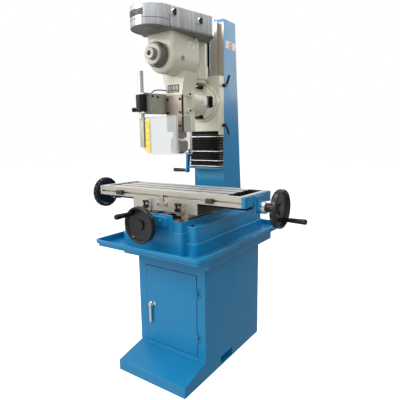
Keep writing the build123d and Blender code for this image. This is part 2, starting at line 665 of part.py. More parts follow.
def make_ram():
    clamp_top = 1112.0
    with BuildPart() as ram:
        add(block((-ram_half_width, ram_half_width), (ram_front, ram_back), (clamp_top, ram_top)))
        chamfer(ram.edges().filter_by(Axis.Z), 1)
    finish(ram.part, "ram")

    # The clamp is bevelled on all sides of its front outline and on its rear corners.
    outline = [(-208, ram_bottom), (-208, clamp_top), (-166, clamp_top), (-144, 1090), (-144, 1064),
               (-168, ram_bottom)]
    with BuildPart() as tool_clamp:
        add(prism_x(outline, (-26, 26)))
        with BuildSketch(Plane.XZ.offset(209)):
            with BuildLine():
                Polyline((-17, ram_bottom), (17, ram_bottom), (26, 1049), (26, 1098), (18.5, clamp_top),
                         (-18.5, clamp_top), (-26, 1098), (-26, 1049), close=True)
            make_face()
        extrude(amount=-70, mode=Mode.INTERSECT)
        add(rod((0, -176, ram_bottom - 1), (0, 0, 1), 53, 10), mode=Mode.SUBTRACT)
        for z in (1062, 1093):
            add(cap_screw((0, -208, z), (0, -1, 0), 6, 4))
    finish(tool_clamp.part, "tool_clamp")


def make_motor():
    with BuildPart() as motor:
        body = [(1364.5, 0), (1364.5, 53), (1367, 56), (1378, 56), (1378, 60), (1384, 66), (1440, 66), (1446, 62),
                (cover_bottom - 0.2, 62), (cover_bottom - 0.2, 9), (1525, 9), (1525, 0)]
        add(turned((0, motor_y, 0), (0, 0, 1), body))
    finish(motor.part, "motor")

    with BuildPart() as motor_pulley:
        sheave = [(1555, 0), (1555, 30), (1559, 30), (1564, 24), (1570, 24), (1575, 30), (1579, 30), (1579, 0)]
        add(turned((0, motor_y, 0), (0, 0, 1), sheave))
        add(rod((0, motor_y, 1526), (0, 0, 1), 58, 8))
    finish(motor_pulley.part, "motor_pulley")

    with BuildPart() as input_shaft:
        sheave = [(1555, 0), (1555, 62), (1559, 62), (1564, 56), (1570, 56), (1575, 62), (1579, 62), (1579, 0)]
        add(turned((input_x, input_y, 0), (0, 0, 1), sheave))
        add(rod((input_x, input_y, 1424), (0, 0, 1), 162, 7))
        add(rod((input_x, input_y, 1434), (0, 0, 1), 42, 12))
    finish(input_shaft.part, "input_shaft")

    with BuildPart() as drive_belt:
        for grow, thickness_mode in ((8.5, Mode.ADD), (1.0, Mode.SUBTRACT)):
            with BuildSketch(Plane.XY.offset(1563)) as loop:
                with Locations((0, motor_y)):
                    Circle(24 + grow)
                with Locations((input_x, input_y)):
                    Circle(56 + grow)
                make_hull()
            extrude(amount=8, mode=thickness_mode)
        add(turned((0, motor_y, 0), (0, 0, 1), [(1554, 0), (1554, 30.5), (1580, 30.5), (1580, 0)]), mode=Mode.SUBTRACT)
        add(turned((input_x, input_y, 0), (0, 0, 1), [(1554, 0), (1554, 62.5), (1580, 62.5), (1580, 0)]),
            mode=Mode.SUBTRACT)
    finish(drive_belt.part, "drive_belt")

    with BuildPart() as crank_wheel:
        add(turned((0, 0, drive_z), (0, 1, 0), [(-230, 12), (-230, 31), (-200, 31), (-200, 12)]))
        add(turned((0, 0, drive_z), (0, 1, 0), [(-190, 12), (-190, 44), (-168, 44), (-168, 12)]))
        add(turned((0, 0, drive_z), (0, 1, 0), [(-303, 0), (-303, 12), (-113, 12), (-113, 0)]))
    finish(crank_wheel.part, "crank_wheel")

    with BuildPart() as stroke_hub:
        hub = [(-303, 0), (-303, 34), (-334.3, 34), (-334.3, 44), (-347, 44), (-350, 41), (-350, 24), (-366, 24)]
        hub += [(-368, 22), (-368, 0)]
        add(turned((0, 0, drive_z), (0, 1, 0), hub))
        with BuildSketch(Plane.XZ.offset(369)):
            with Locations((0, drive_z)):
                RegularPolygon(11, 6)
        extrude(amount=-14, mode=Mode.SUBTRACT)
    finish(stroke_hub.part, "stroke_hub")

    with BuildPart() as stroke_ring:
        ring = [(-302.4, 34), (-302.4, 49), (-306, 51), (-328, 51), (-334, 46), (-334, 34)]
        add(turned((0, 0, drive_z), (0, 1, 0), ring))
        for step in range(24):
            angle = 2 * pi * step / 24
            notch = (54 * cos(angle), -301, drive_z + 54 * sin(angle))
            add(rod(notch, (0, -1, 0), 36, 4.6), mode=Mode.SUBTRACT)
    finish(stroke_ring.part, "stroke_ring")


def cover_outline(inset):
    """Belt cover outline seen from above: round nose, straight left side, flared right side, narrow tail."""
    nose = 90.0 - inset
    tail = 64.0 - inset
    nose_right = (nose * cos(cover_flare), cover_front_y - nose * sin(cover_flare))
    corner = (nose_right[0] + cover_side * sin(cover_flare), nose_right[1] + cover_side * cos(cover_flare))
    tail_slant = radians(36)
    tail_right = (tail * cos(tail_slant), motor_y + tail * sin(tail_slant))
    with BuildSketch() as outline:
        with BuildLine():
            nose_arc = ThreePointArc((-nose, cover_front_y), (0, cover_front_y - nose), nose_right)
            right = Line(nose_arc @ 1, corner)
            shoulder = (118.0 - inset, -74.0 - 0.6 * inset)
            bend = TangentArc(right @ 1, shoulder, tangent=right % 1)
            slant = Line(bend @ 1, tail_right)
            tail_arc = ThreePointArc(slant @ 1, (0, motor_y + tail), (-tail, motor_y))
            left_back = Line(tail_arc @ 1, (-nose, -110))
            Line(left_back @ 1, (-nose, cover_front_y))
        make_face()
    return outline.sketch


def front_of_seam(z_range):
    """Region ahead of the upright seam in the belt cover."""
    return block((-200, 200), (-460, cover_front_y + 0.4), z_range)


def make_belt_cover():
    outer = cover_outline(0)
    inner = cover_outline(cover_wall)
    with BuildPart() as belt_cover_base:
        with BuildSketch(Plane.XY.offset(cover_bottom)):
            add(outer)
        extrude(amount=cover_seam - 0.4 - cover_bottom)
        fillet(belt_cover_base.edges().group_by(Axis.Z)[0], 5)
        add(block((-200, 200), (cover_front_y, 60), (cover_bottom + 4, cover_seam)), mode=Mode.SUBTRACT)
        with BuildSketch(Plane.XY.offset(cover_bottom + 4)):
            add(inner)
        extrude(amount=100, mode=Mode.SUBTRACT)
        add(rod((0, motor_y, cover_bottom - 1), (0, 0, 1), 8, 12), mode=Mode.SUBTRACT)
        add(rod((input_x, input_y, cover_bottom - 1), (0, 0, 1), 8, 7.05), mode=Mode.SUBTRACT)
        for y in (-300, -150):
            add(rod((lid_hinge_x, y, lid_hinge_z), (0, 1, 0), 20, 4.6))
            add(block((lid_hinge_x - 4.6, -84), (y, y + 20), (cover_bottom, cover_bottom + 4)))
            add(block((lid_hinge_x - 4.6, lid_hinge_x + 2), (y, y + 20), (cover_bottom, lid_hinge_z)))
        add(rod((lid_hinge_x, -300, lid_hinge_z), (0, 1, 0), 170, 2))
    finish(belt_cover_base.part, "belt_cover_base")

    with BuildPart() as belt_cover_lid:
        with BuildSketch(Plane.XY.offset(cover_bottom + 5.5)):
            add(outer)
        extrude(amount=cover_top - cover_bottom - 5.5)
        fillet(belt_cover_lid.edges().group_by(Axis.Z)[-1], 7)
        with BuildSketch(Plane.XY.offset(cover_bottom)):
            add(inner)
        extrude(amount=cover_top - cover_wall - cover_bottom, mode=Mode.SUBTRACT)
        add(front_of_seam((cover_bottom, cover_seam)), mode=Mode.SUBTRACT)
        add(rod((lid_hinge_x, -279.6, lid_hinge_z), (0, 1, 0), 129.2, 4.6))
        add(block((lid_hinge_x, -88), (-279.6, -150.4), (lid_hinge_z - 4, lid_hinge_z + 12)))
        for y in (-300.5, -150.3):
            add(block((lid_hinge_x - 6, -84), (y, y + 20.9), (cover_bottom, lid_hinge_z + 6)), mode=Mode.SUBTRACT)
        add(rod((lid_hinge_x, -290, lid_hinge_z), (0, 1, 0), 150, 2 + running_fit), mode=Mode.SUBTRACT)
    finish(belt_cover_lid.part, "belt_cover_lid")

    # Quarter-turn catches, placed by their distance along the flared side.
    outward = (cos(cover_flare), -sin(cover_flare), 0)
    for name, along, z in (("lid_catch_front", 42.0, 1601.0), ("lid_catch_rear", 180.0, 1593.0)):
        x = 90.4 * cos(cover_flare) + along * sin(cover_flare)
        y = cover_front_y - 90.4 * sin(cover_flare) + along * cos(cover_flare)
        start = (x, y, z)
        with BuildPart() as lid_catch:
            add(turned(start, outward, [(0, 0), (0, 14), (3, 14), (6, 11), (6, 0)]))
            wing = Plane(origin=tuple(Vector(*start) + Vector(*outward) * 4), x_dir=(0, 0, 1), z_dir=outward)
            with BuildSketch(wing):
                RectangleRounded(24, 7, 3)
            extrude(amount=11)
        finish(lid_catch.part, name)


# ---------------------------------------------------------------- guard

def make_guard():
    # Bent plate from the ram guide's left side forward to the clamp block.
    low, high = 1218.0, 1308.0
    hub_radius = 24.0
    knob_angle = radians(35)
    knob_out = Vector(-cos(knob_angle), -sin(knob_angle), 0)
    knob_in = -knob_out
    with BuildPart() as guard_arm:
        with BuildSketch(Plane.XY.offset(low)):
            with BuildLine():
                Polyline((-46, -157), (-46, -205), (-52, -226), (-78, -286), (-78, -300), (-92, -300), (-92, -284),
                         (-66, -226), (-56, -204), (-56, -157), close=True)
            make_face()
        extrude(amount=high - low)
        add(rod((rod_x, rod_y, low - 1), (0, 0, 1), high - low + 2, hub_radius + 0.5), mode=Mode.SUBTRACT)
        for lug_bottom in (1300.5, 1218.0):
            add(block((-104, -72), (-330, -284), (lug_bottom, lug_bottom + 7.5)))
        add(rod((rod_x, rod_y, low - 1), (0, 0, 1), high - low + 4, rod_radius + 0.5), mode=Mode.SUBTRACT)
        for y, z in ((-166, 1296), (-192, 1296), (-166, 1230), (-192, 1230)):
            add(cap_screw((-56, y, z), (-1, 0, 0), 5, 4))
    finish(guard_arm.part, "guard_arm")

    hub_middle = Vector(rod_x, rod_y, 1236)
    with BuildPart() as guard_hub:
        add(rod((rod_x, rod_y, 1226), (0, 0, 1), 74, hub_radius))
        chamfer(guard_hub.edges().filter_by(GeomType.CIRCLE), 2)
        add(rod((rod_x, rod_y, 1220), (0, 0, 1), 90, rod_radius + running_fit), mode=Mode.SUBTRACT)
        add(rod(tuple(hub_middle + knob_out * 30), tuple(knob_in), 20, 4.05), mode=Mode.SUBTRACT)
    finish(guard_hub.part, "guard_hub")

    with BuildPart() as guard_clamp_knob:
        seat = tuple(hub_middle + knob_out * (hub_radius + 1))
        add(turned(seat, tuple(knob_out), [(0, 0), (0, 8), (4, 10), (14, 10), (17, 8), (17, 0)]))
        add(rod(seat, tuple(knob_in), 13, 4))
    finish(guard_clamp_knob.part, "guard_clamp_knob")

    with BuildPart() as guard_rod:
        add(rod((rod_x, rod_y, 1195), (0, 0, 1), 207, rod_radius))
        chamfer(guard_rod.edges().group_by(Axis.Z)[-1], 1.5)
        add(rounded_block((rod_x - 9.5, rod_x + 15), (rod_y - 7, rod_y + 7), (1072, 1216), 2))
        add(block((rod_x + 4, rod_x + 16), (-316.6, -312.6), (1071, 1205)), mode=Mode.SUBTRACT)
    finish(guard_rod.part, "guard_rod")

    left, right, depth = rod_x + 4.5, 101.0, -216.0
    bottom, top = 1041.0, 1204.0
    with BuildPart() as guard_screen:
        with BuildSketch(Plane.XY.offset(bottom)):
            with BuildLine():
                FilletPolyline((left, -314.6), (right - 1.5, -314.6), (right - 1.5, depth), radius=12)
            trace(line_width=3.8)
        extrude(amount=top - bottom)
        with BuildSketch(Plane.XZ.offset(330)):
            with BuildLine():
                Polyline((left - 3, bottom - 1), (left + 40, bottom - 1), (left - 3, bottom + 30), close=True)
            make_face()
        extrude(amount=-30, mode=Mode.SUBTRACT)
    finish(guard_screen.part, "guard_screen")

    # Short switch lead from the clamp block to the head, led over the arm.
    with BuildPart() as switch_lead:
        with BuildLine():
            lead = FilletPolyline((-77, -272, 1310.3), (-74, -262, 1322), (-57, -232, 1326), (-44, -209.5, 1323),
                                  radius=10)
        with BuildSketch(Plane(origin=lead @ 0, z_dir=lead % 0)):
            Circle(2.5)
        sweep(path=lead)
    finish(switch_lead.part, "switch_lead")


make_cabinet_shell()
make_stand_top_frame()
make_chip_tray()
make_door()
make_base_casting()
make_y_screw_bracket()
make_y_feed()
make_saddle()
make_table_locks()
make_table()
make_x_feed()
make_column()
make_elevating_drive()
make_carriage()
make_head_casting()
make_ram()
make_motor()
make_belt_cover()
make_guard()
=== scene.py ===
"""Looks for the slotting machine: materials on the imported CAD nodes, and finer pieces built round them."""
import math

import bmesh
import bpy
from mathutils import Matrix, Vector


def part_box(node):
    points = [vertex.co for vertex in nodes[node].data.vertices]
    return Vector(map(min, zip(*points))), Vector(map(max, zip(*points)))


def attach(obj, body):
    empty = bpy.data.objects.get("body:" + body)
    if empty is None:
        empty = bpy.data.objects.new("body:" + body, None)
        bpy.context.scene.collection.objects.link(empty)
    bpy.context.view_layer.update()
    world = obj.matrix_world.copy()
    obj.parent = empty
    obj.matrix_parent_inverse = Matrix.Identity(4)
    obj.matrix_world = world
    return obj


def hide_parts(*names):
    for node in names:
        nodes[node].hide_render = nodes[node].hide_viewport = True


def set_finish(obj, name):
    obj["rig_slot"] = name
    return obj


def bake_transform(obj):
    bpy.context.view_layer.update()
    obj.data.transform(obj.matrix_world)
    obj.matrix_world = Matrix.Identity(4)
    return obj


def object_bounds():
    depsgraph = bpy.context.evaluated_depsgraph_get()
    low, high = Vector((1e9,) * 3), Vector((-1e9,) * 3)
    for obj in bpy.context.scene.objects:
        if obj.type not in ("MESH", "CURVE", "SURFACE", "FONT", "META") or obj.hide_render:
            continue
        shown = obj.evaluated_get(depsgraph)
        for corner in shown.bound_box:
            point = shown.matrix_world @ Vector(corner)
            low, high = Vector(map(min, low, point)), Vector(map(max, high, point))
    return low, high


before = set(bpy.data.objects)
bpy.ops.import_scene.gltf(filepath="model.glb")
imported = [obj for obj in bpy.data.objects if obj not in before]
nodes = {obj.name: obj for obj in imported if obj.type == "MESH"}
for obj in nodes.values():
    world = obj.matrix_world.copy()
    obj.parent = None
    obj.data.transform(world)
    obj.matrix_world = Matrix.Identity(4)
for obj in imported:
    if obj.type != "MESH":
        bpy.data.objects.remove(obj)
cad_low, cad_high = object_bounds()
MM = 0.001


# ------------------------------------------------------------------ materials

def rgb(red, green, blue):
    """Linear colour from display values, 0 to 255."""
    linear = []
    for value in (red, green, blue):
        share = value / 255
        linear.append(share / 12.92 if share <= 0.04045 else ((share + 0.055) / 1.055) ** 2.4)
    return (*linear, 1.0)


def scaled(color, factor):
    return (*(min(1.0, part * factor) for part in color[:3]), 1.0)


class Look:
    """A Principled material. Its textures are placed by object coordinates, which are the frame's metres."""

    def __init__(self, name, color, rough=0.4, metallic=0.0, **sockets):
        self.material = bpy.data.materials.new(name)
        self.material.use_nodes = True
        self.nodes = self.material.node_tree.nodes
        self.links = self.material.node_tree.links
        self.shader = next(n for n in self.nodes if n.type == "BSDF_PRINCIPLED")
        self.shader.inputs["Base Color"].default_value = color
        self.shader.inputs["Roughness"].default_value = rough
        self.shader.inputs["Metallic"].default_value = metallic
        for socket, value in sockets.items():
            self.shader.inputs[socket.replace("_", " ")].default_value = value
        self.place = self.nodes.new("ShaderNodeTexCoord").outputs["Object"]
        self.normal = None

    def noise(self, scale, stretch=(1, 1, 1), detail=3.0, distortion=0.0):
        mapping = self.nodes.new("ShaderNodeMapping")
        mapping.inputs["Scale"].default_value = stretch
        self.links.new(self.place, mapping.inputs["Vector"])
        texture = self.nodes.new("ShaderNodeTexNoise")
        texture.inputs["Scale"].default_value = scale
        texture.inputs["Detail"].default_value = detail
        texture.inputs["Distortion"].default_value = distortion
        self.links.new(mapping.outputs["Vector"], texture.inputs["Vector"])
        return texture.outputs[0]

    def remap(self, value, start, stop, low, high):
        node = self.nodes.new("ShaderNodeMapRange")
        for index, number in enumerate((start, stop, low, high), 1):
            node.inputs[index].default_value = number
        self.links.new(value, node.inputs[0])
        return node.outputs[0]

    def mix(self, share, first, second):
        node = self.nodes.new("ShaderNodeMix")
        node.data_type = "RGBA"
        self.links.new(share, node.inputs[0])
        for index, value in ((6, first), (7, second)):
            if isinstance(value, tuple):
                node.inputs[index].default_value = value
            else:
                self.links.new(value, node.inputs[index])
        return node.outputs[2]

    def edges(self, radius, gain):
        """Rounds the shading of sharp edges. Gives 0 on flat surfaces, rising to 1 along the edges."""
        rounded = self.nodes.new("ShaderNodeBevel")
        rounded.samples = 6
        rounded.inputs["Radius"].default_value = radius
        geometry = self.nodes.new("ShaderNodeNewGeometry")
        dot = self.nodes.new("ShaderNodeVectorMath")
        dot.operation = "DOT_PRODUCT"
        self.links.new(rounded.outputs["Normal"], dot.inputs[0])
        self.links.new(geometry.outputs["Normal"], dot.inputs[1])
        self.normal = rounded.outputs["Normal"]
        return self.remap(dot.outputs["Value"], 1.0, 1.0 - 1.0 / gain, 0.0, 1.0)

    def bump(self, height, strength, distance):
        node = self.nodes.new("ShaderNodeBump")
        node.inputs["Strength"].default_value = strength
        node.inputs["Distance"].default_value = distance
        self.links.new(height, node.inputs["Height"])
        if self.normal is not None:
            self.links.new(self.normal, node.inputs["Normal"])
        self.normal = node.outputs["Normal"]

    def done(self, color=None, rough=None):
        if color is not None:
            self.links.new(color, self.shader.inputs["Base Color"])
        if rough is not None:
            self.links.new(rough, self.shader.inputs["Roughness"])
        if self.normal is not None:
            self.links.new(self.normal, self.shader.inputs["Normal"])
        return self.material


def paint(name, color, rough, edge_highlight, coat=0.5):
    """Gloss machine enamel: slight orange peel, faint mottling, and a painted highlight of lighter paint
    along the edges.
    """
    look = Look(name, color, rough, Coat_Weight=coat, Coat_Roughness=0.07, Specular_IOR_Level=0.4)
    mottle = look.mix(look.noise(5.0, detail=4.0), scaled(color, 0.90), scaled(color, 1.10))
    # Painted highlight: along the edges the colour turns to the lighter fourth colour.
    edge = look.edges(0.0022, 2.2)
    colour = look.mix(edge, mottle, edge_highlight)
    look.bump(look.noise(420.0, detail=1.0), 0.06, 0.0003)
    smears = look.remap(look.noise(6.0, detail=3.0, distortion=0.4), 0.3, 0.7, rough * 0.85, rough * 1.25)
    return look.done(colour, smears)


def machined(name, color, rough, along, metallic=1.0, contrast=0.14):
    """Ground or turned metal, with fine tool lines that run along one axis."""
    look = Look(name, color, rough, metallic)
    fine = tuple(0.03 if part else 1.0 for part in along)
    lines = look.noise(900.0, fine, detail=2.0)
    stains = look.noise(14.0, detail=5.0, distortion=0.8)
    dark = look.mix(lines, scaled(color, 1 - contrast), scaled(color, 1 + contrast * 0.6))
    colour = look.mix(look.remap(stains, 0.45, 0.75, 0.0, 0.55), dark, scaled(color, 0.80))
    look.edges(0.0010, 2.0)
    look.bump(lines, 0.12, 0.0002)
    return look.done(colour, look.remap(stains, 0.3, 0.75, rough * 0.85, rough * 1.45))


def polished(name, color, rough, shaded_below, bright_above, grain=(1.0, 1.0, 0.04), depth=1.0):
    """Buffed cast aluminium: uneven polish in streaks, and painted shade that darkens it towards its lower
    edge (heights in metres).
    """
    look = Look(name, color, rough, 0.55)
    streaks = look.noise(86.0, grain, detail=5.0, distortion=0.2)
    clouds = look.noise(9.0, (1.0, 1.0, 0.5), detail=3.0)
    scuffs = look.noise(240.0, (0.4, 0.4, 1.0), detail=2.0)
    split = look.nodes.new("ShaderNodeSeparateXYZ")
    look.links.new(look.place, split.inputs[0])
    # Painted shade: the colour darkens from bright_above down to shaded_below.
    height = look.remap(split.outputs[2], shaded_below, bright_above, 0.0, 1.0)
    body = look.mix(height, scaled(color, 0.72), color)
    dull_and_shaded = look.mix(height, scaled(color, 0.45), scaled(color, 1 - 0.32 * depth))
    colour = look.mix(look.remap(streaks, 0.35, 0.68, 0.0, 1.0), dull_and_shaded, body)
    colour = look.mix(look.remap(clouds, 0.48, 0.66, 0.0, 0.5), colour, dull_and_shaded)
    colour = look.mix(look.remap(scuffs, 0.5, 0.8, 0.0, 0.3), colour, scaled(color, 0.80))
    look.edges(0.0030, 2.0)
    look.bump(look.noise(11.0, (1.0, 1.0, 0.35), detail=2.0), 0.35 * depth, 0.004)
    look.bump(scuffs, 0.05, 0.0002)
    return look.done(colour, look.remap(streaks, 0.3, 0.7, rough * 0.8, rough * 1.9))


def moulded(name, color, rough, grain, depth, coat=0.0, dusty=2.2):
    """Moulded plastic or rubber: fine grain, a little dust and handling wear."""
    look = Look(name, color, rough, Coat_Weight=coat, Coat_Roughness=0.05, Specular_IOR_Level=0.28)
    dust = look.noise(22.0, detail=5.0, distortion=0.5)
    colour = look.mix(look.remap(dust, 0.45, 0.8, 0.0, 0.5), color, scaled(color, dusty))
    look.edges(0.0014, 2.0)
    look.bump(look.noise(grain, detail=2.0), 0.22, depth)
    return look.done(colour, look.remap(dust, 0.3, 0.8, rough * 0.8, rough * 1.6))


def printed(name, color, second, share):
    """Printed film or a screened plate: matt ink with patches of a second tone and no lettering."""
    look = Look(name, color, 0.5)
    patches = look.noise(120.0, (1.0, 1.0, 0.6), detail=0.0)
    colour = look.mix(look.remap(patches, 0.5 - share, 0.62 - share, 0.0, 1.0), second, color)
    look.bump(look.noise(900.0, detail=1.0), 0.05, 0.0001)
    return look.done(colour, look.remap(look.noise(60.0), 0.3, 0.7, 0.38, 0.6))


def clear_sheet(name, color, face_on, edge_on):
    """Clear acrylic with light scratches: nearly unseen face on, denser where the eye grazes it."""
    look = Look(name, color, 0.06)
    look.shader.inputs["Specular IOR Level"].default_value = 0.2
    grazing = look.nodes.new("ShaderNodeLayerWeight")
    grazing.inputs["Blend"].default_value = 0.35
    scratches = look.noise(160.0, (1.0, 1.0, 0.06), detail=3.0, distortion=1.2)
    density = look.remap(grazing.outputs["Facing"], 0.15, 0.9, face_on, edge_on)
    look.links.new(density, look.shader.inputs["Alpha"])
    look.bump(scratches, 0.04, 0.0002)
    tint = look.mix(look.remap(scratches, 0.4, 0.7, 0.0, 1.0), color, scaled(color, 0.97))
    return look.done(tint, look.remap(scratches, 0.5, 0.75, 0.05, 0.18))


BLUE = rgb(12, 121, 170)
CREAM = rgb(202, 199, 180)
GROUND = rgb(186, 180, 169)
# The fourth colour of each paint is its painted edge highlight.
blue_paint = paint("blue_enamel", BLUE, 0.34, rgb(110, 180, 222), coat=0.12)
# Painted shade: a half-bright copy of the blue, for the underside of the stand's top frame.
shaded_blue_paint = paint("blue_enamel_painted_shade", scaled(BLUE, 0.5), 0.35, scaled(BLUE, 0.8))
cream_paint = paint("cream_enamel", CREAM, 0.32, rgb(226, 222, 206), coat=0.25)
ground_iron = machined("ground_iron", GROUND, 0.36, (1, 0, 0), 0.7)
# Painted light: a brighter copy of the ground iron for the table's top faces.
lit_ground_iron_top = machined("lit_ground_iron_top", rgb(232, 230, 224), 0.34, (1, 0, 0), 0.6)
ground_iron_front = machined("ground_iron_ways", rgb(190, 184, 170), 0.38, (0, 0, 1), 0.6)
stop_steel = machined("dull_stop_steel", rgb(82, 80, 76), 0.4, (1, 0, 0), 0.7)
knurled_steel = machined("knurled_steel", rgb(120, 118, 114), 0.34, (0, 1, 0), 0.9)
rod_steel = machined("guard_rod_steel", rgb(208, 210, 210), 0.28, (0, 0, 1), 0.8, 0.04)
# Oil and painted shade: dark iron for slots, the table's underside and the sliding faces.
oil_and_shade_iron = machined("oil_and_shade_iron", rgb(58, 56, 54), 0.34, (1, 0, 0), 0.7)
steel = machined("machined_steel", rgb(176, 170, 162), 0.30, (0, 0, 1))
plate_steel = machined("ground_plate_steel", rgb(137, 125, 116), 0.34, (0, 0, 1), 0.8)
dull_steel = machined("bead_blasted_steel", rgb(172, 174, 158), 0.42, (0, 0, 1), 0.7)
turned_steel = machined("turned_steel", rgb(160, 158, 152), 0.5, (0, 1, 0), 0.6)
dial_steel = machined("satin_chrome", rgb(214, 214, 216), 0.26, (1, 0, 0))
# Real black oxide on screws and marks; also painted shade in the column slot and the head's bolt pockets.
dark_steel = machined("black_oxide_and_painted_shade", rgb(38, 38, 40), 0.36, (0, 0, 1), 0.6)
strip_steel = machined("bright_strip", rgb(226, 226, 222), 0.24, (1, 0, 0))
chrome = machined("chrome", rgb(212, 213, 216), 0.10, (0, 0, 1), 1.0, 0.03)
# Painted shade: both polished aluminium looks darken below a given height.
aluminium = polished("polished_aluminium", rgb(228, 231, 233), 0.18, 1.545, 1.606)
aluminium_top = polished("brushed_aluminium_top", rgb(206, 209, 211), 0.26, 1.50, 1.60,
                         grain=(1.0, 0.03, 1.0), depth=0.45)
# Painted shade: a dark copy of the aluminium for the belt cover's downward faces.
shaded_aluminium_under = machined("aluminium_underside_painted_shade", rgb(128, 128, 124), 0.45, (0, 1, 0), 0.4)
bakelite = moulded("bakelite", rgb(14, 14, 15), 0.28, 700.0, 0.0002, coat=0.3, dusty=1.6)
plastic = moulded("black_plastic", rgb(15, 15, 16), 0.34, 900.0, 0.0002, coat=0.15, dusty=1.7)
rubber = moulded("rubber", rgb(24, 24, 25), 0.55, 600.0, 0.0003)
leathercloth = moulded("bellows_cloth", rgb(8, 8, 11), 0.42, 1100.0, 0.0004)
acrylic = clear_sheet("clear_acrylic", rgb(62, 66, 66), 0.11, 0.32)
# Painted highlight: a bright, denser copy of the acrylic for its edges.
acrylic_edge_highlight = clear_sheet("acrylic_highlight_edge", rgb(226, 230, 230), 0.62, 0.85)
white_film = printed("white_film", rgb(236, 236, 232), rgb(214, 214, 210), 0.1)
yellow_film = printed("yellow_film", rgb(246, 216, 66), rgb(226, 186, 44), 0.06)
red_film = printed("red_film", rgb(196, 104, 84), rgb(226, 168, 150), 0.0)
black_plate = printed("black_plate", rgb(52, 46, 44), rgb(84, 78, 76), 0.0)
grey_ink = printed("grey_ink", rgb(150, 150, 152), rgb(176, 176, 178), 0.0)
sight_look = Look("sight_glass", rgb(40, 30, 18), 0.05, Coat_Weight=1.0)
amber_glass = sight_look.done(sight_look.mix(sight_look.noise(90.0), rgb(30, 22, 14), rgb(72, 50, 26)))

# Nodes that a finer piece replaces aren't listed.
NODE_LOOKS = {
    blue_paint: "cabinet_shell stand_top_frame chip_tray door_panel base_casting y_screw_bracket column "
                "end_bracket_left end_bracket_right elevating_crank door_hinge_pins",
    cream_paint: "head_carriage head_casting motor swivel_ring",
    ground_iron: "saddle table",
    steel: "ram tool_clamp crank_wheel y_lead_screw x_lead_screw z_lead_screw zero_pointer",
    plate_steel: "ram_cover_plate",
    dull_steel: "guard_arm",
    dark_steel: "head_screws",
    stop_steel: "table_stop_left table_stop_right",
    knurled_steel: "stroke_ring",
    turned_steel: "stroke_hub oil_fittings",
    dial_steel: "x_dials y_dial",
    chrome: "door_handle door_lock lid_catch_front lid_catch_rear",
    aluminium: "belt_cover_base belt_cover_lid motor_pulley input_shaft",
    bakelite: "x_handwheel_left x_handwheel_right y_handwheel",
    plastic: "x_grip_left x_grip_right y_handwheel_grip crank_grip guard_clamp_knob carriage_lock_lower "
             "carriage_lock_upper table_lock_lever_left table_lock_lever_right",
    rubber: "drive_belt",
    acrylic: "guard_screen",
}
for look, names in NODE_LOOKS.items():
    for name in names.split():
        nodes[name].data.materials.clear()
        nodes[name].data.materials.append(look)


def corners(node):
    """Lowest and highest corner of a CAD node, in millimetres."""
    low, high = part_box(node)
    return low / MM, high / MM


def repaint(node, look, test):
    """Gives look to the CAD faces whose middle (mm) and normal pass the test."""
    mesh = nodes[node].data
    mesh.materials.append(look)
    index = len(mesh.materials) - 1
    for face in mesh.polygons:
        if test(face.center / MM, face.normal):
            face.material_index = index


column_high = corners("column")[1]
bellows_low, bellows_high = corners("bellows")
table_low, table_high = corners("table")
saddle_low, saddle_high = corners("saddle")
base_low, base_high = corners("base_casting")
column_half = bellows_high.x
way_front = bellows_high.y + 1
swivel_z = (corners("swivel_ring")[0].z + corners("swivel_ring")[1].z) / 2
COVER_FLARE = math.radians(14)


def repaint_column():
    """Bare ground dovetail, with the slot for the vertical screw between its ways painted black as painted
    shade.
    """
    dovetail_half, slot_half = 70, 31
    slot_front, slot_back = 60, 95
    slot_bottom, slot_top = 1100, 1645
    repaint("column", ground_iron_front,
            lambda middle, normal: abs(middle.x) < dovetail_half and middle.y < way_front - 0.9 and
            middle.z > bellows_low.z + 1)
    # Painted shade: the slot's faces get the black steel look.
    repaint("column", dark_steel,
            lambda middle, normal: abs(middle.x) < slot_half and slot_front < middle.y < slot_back and
            slot_bottom < middle.z < slot_top)


def repaint_ways():
    """Ground table top, brighter as painted light, with oil and painted shade in its slots and on the sliding
    faces of table, saddle and base.
    """
    slot_depth, end_margin = 30, 5
    front_margin, back_margin = 14, 10
    skirt_top = 836
    saddle_front, saddle_side = saddle_low.y + 12, saddle_high.x - 7
    base_way, base_front = base_high.z - 20.5, base_low.y + 6.5
    # Painted shade with some oil: the table's slots and underside go dark.
    repaint("table", oil_and_shade_iron,
            lambda middle, normal: table_high.z - slot_depth < middle.z < table_high.z - 1 and
            table_low.y + front_margin < middle.y < table_high.y - back_margin and
            abs(middle.x) < table_high.x - end_margin)
    repaint("table", oil_and_shade_iron, lambda middle, normal: middle.z < skirt_top)
    repaint("saddle", oil_and_shade_iron,
            lambda middle, normal: middle.y > saddle_front and abs(middle.x) > saddle_side)
    repaint("base_casting", oil_and_shade_iron,
            lambda middle, normal: middle.z > base_way and middle.y > base_front)
    # Painted light: upward faces of the table top get the brighter copy.
    repaint("table", lit_ground_iron_top, lambda middle, normal: middle.z > table_high.z - 1 and normal.z > 0.9)
    repaint("end_bracket_left", ground_iron, lambda middle, normal: normal.y < -0.5 and middle.z > skirt_top)


def repaint_crank_and_head():
    """Steel crank hub, painted shade as dark floors in the head's bolt pockets, and a painted upper oil
    fitting.
    """
    hub_right, hub_bottom = -137, 1016
    repaint("elevating_crank", steel, lambda middle, normal: middle.x < hub_right and middle.z > hub_bottom)
    pocket_front, pocket_floor, pocket_reach = -36.2, -5.5, 65.0
    repaint("head_casting", dull_steel,
            lambda middle, normal: pocket_front < middle.y < pocket_floor and abs(normal.y) < 0.05 and
            math.hypot(middle.x, middle.z - swivel_z) < pocket_reach)
    # Painted shade: the pocket floors get the black steel look.
    repaint("head_casting", dark_steel,
            lambda middle, normal: pocket_floor - 1.5 < middle.y < pocket_floor and normal.y < -0.95)
    painted_above = 1500
    repaint("oil_fittings", cream_paint, lambda middle, normal: middle.z > painted_above)


